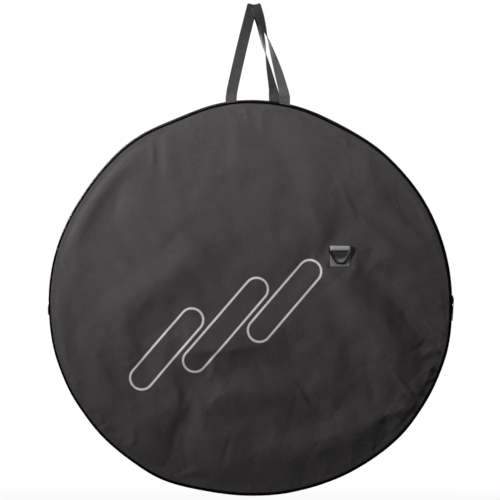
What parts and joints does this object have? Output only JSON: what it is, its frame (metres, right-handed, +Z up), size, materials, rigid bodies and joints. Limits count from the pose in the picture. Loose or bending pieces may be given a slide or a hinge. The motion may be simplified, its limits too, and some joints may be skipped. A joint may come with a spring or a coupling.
{
  "type": "bike wheel bag",
  "caption": "Round padded carrying bag for a bicycle wheel, hanging by its webbing handles, with a zip round the upper gusset, a fold-forward front and a ring tab.",
  "frame": {"origin": "the point where both handles hang, inside the tops of their folds", "axes": "+Z up, +X to the right of the front, +Y from the front to the back"},
  "size_m": [0.7666, 0.1018, 0.9235],
  "materials": {
    "panel_fabric": "woven charcoal polyester, matt",
    "gusset_fabric": "woven charcoal polyester, matt",
    "padding": "closed-cell foam",
    "lining": "smooth nylon",
    "piping": "black covered cord",
    "binding": "black ribbed tape",
    "webbing": "grey polyester webbing",
    "zip_tape": "black twill tape",
    "zip_coil": "black nylon coil",
    "zip_metal": "black satin lacquer",
    "ring_steel": "black satin lacquer"
  },
  "bodies": {
    "shell": {"back_panel": "panel_fabric", "back_padding": "padding", "back_lining": "lining", "back_piping": "piping", "back_binding": "binding", "back_gusset_strip": "gusset_fabric", "lower_gusset": "gusset_fabric", "front_panel_lower": "panel_fabric", "front_padding_lower": "padding", "front_lining_lower": "lining", "front_piping_lower": "piping", "front_binding_lower": "binding", "zip_tape_back": "zip_tape", "zip_coil_back": "zip_coil", "zip_stop_left": "zip_coil", "zip_stop_right": "zip_coil", "zip_end_tab_left": "binding", "zip_end_tab_right": "binding", "back_handle_foot_left": "webbing", "back_handle_foot_right": "webbing"},
    "flap": {"front_panel_upper": "panel_fabric", "front_padding_upper": "padding", "front_lining_upper": "lining", "front_piping_upper": "piping", "front_binding_upper": "binding", "front_gusset_strip": "gusset_fabric", "zip_tape_front": "zip_tape", "zip_coil_front": "zip_coil", "front_handle_foot_left": "webbing", "front_handle_foot_right": "webbing", "ring_tab": "webbing"},
    "front_handle": {"front_handle": "webbing"},
    "back_handle": {"back_handle": "webbing"},
    "slider": {"zip_slider": "zip_metal"},
    "pull": {"zip_pull": "zip_metal"},
    "ring": {"d_ring": "ring_steel"}
  },
  "joints": [
    {"name": "flap_fold", "type": "hinge", "parent": "shell", "child": "flap", "pos_m": [-0.0076, -0.0476, -0.54295], "axis": [1, 0, 0], "range_deg": [0, 120]},
    {"name": "front_handle_swing", "type": "hinge", "parent": "flap", "child": "front_handle", "pos_m": [0, -0.0385, -0.1698], "axis": [1, 0, 0], "range_deg": [0, 140]},
    {"name": "back_handle_swing", "type": "hinge", "parent": "shell", "child": "back_handle", "pos_m": [0, 0.0385, -0.1698], "axis": [-1, 0, 0], "range_deg": [0, 140]},
    {"name": "zip_slider_travel", "type": "hinge", "parent": "shell", "child": "slider", "pos_m": [-0.0076, 0, -0.55832], "axis": [0, -1, 0], "range_deg": [0, 178.7]},
    {"name": "zip_pull_swing", "type": "hinge", "parent": "slider", "child": "pull", "pos_m": [0.37493, 0, -0.5541], "axis": [0, -1, 0], "range_deg": [0, 170]},
    {"name": "d_ring_swing", "type": "hinge", "parent": "flap", "child": "ring", "pos_m": [0.1614, -0.05101, -0.45295], "axis": [-1, 0, 0], "range_deg": [0, 170]}
  ]
}
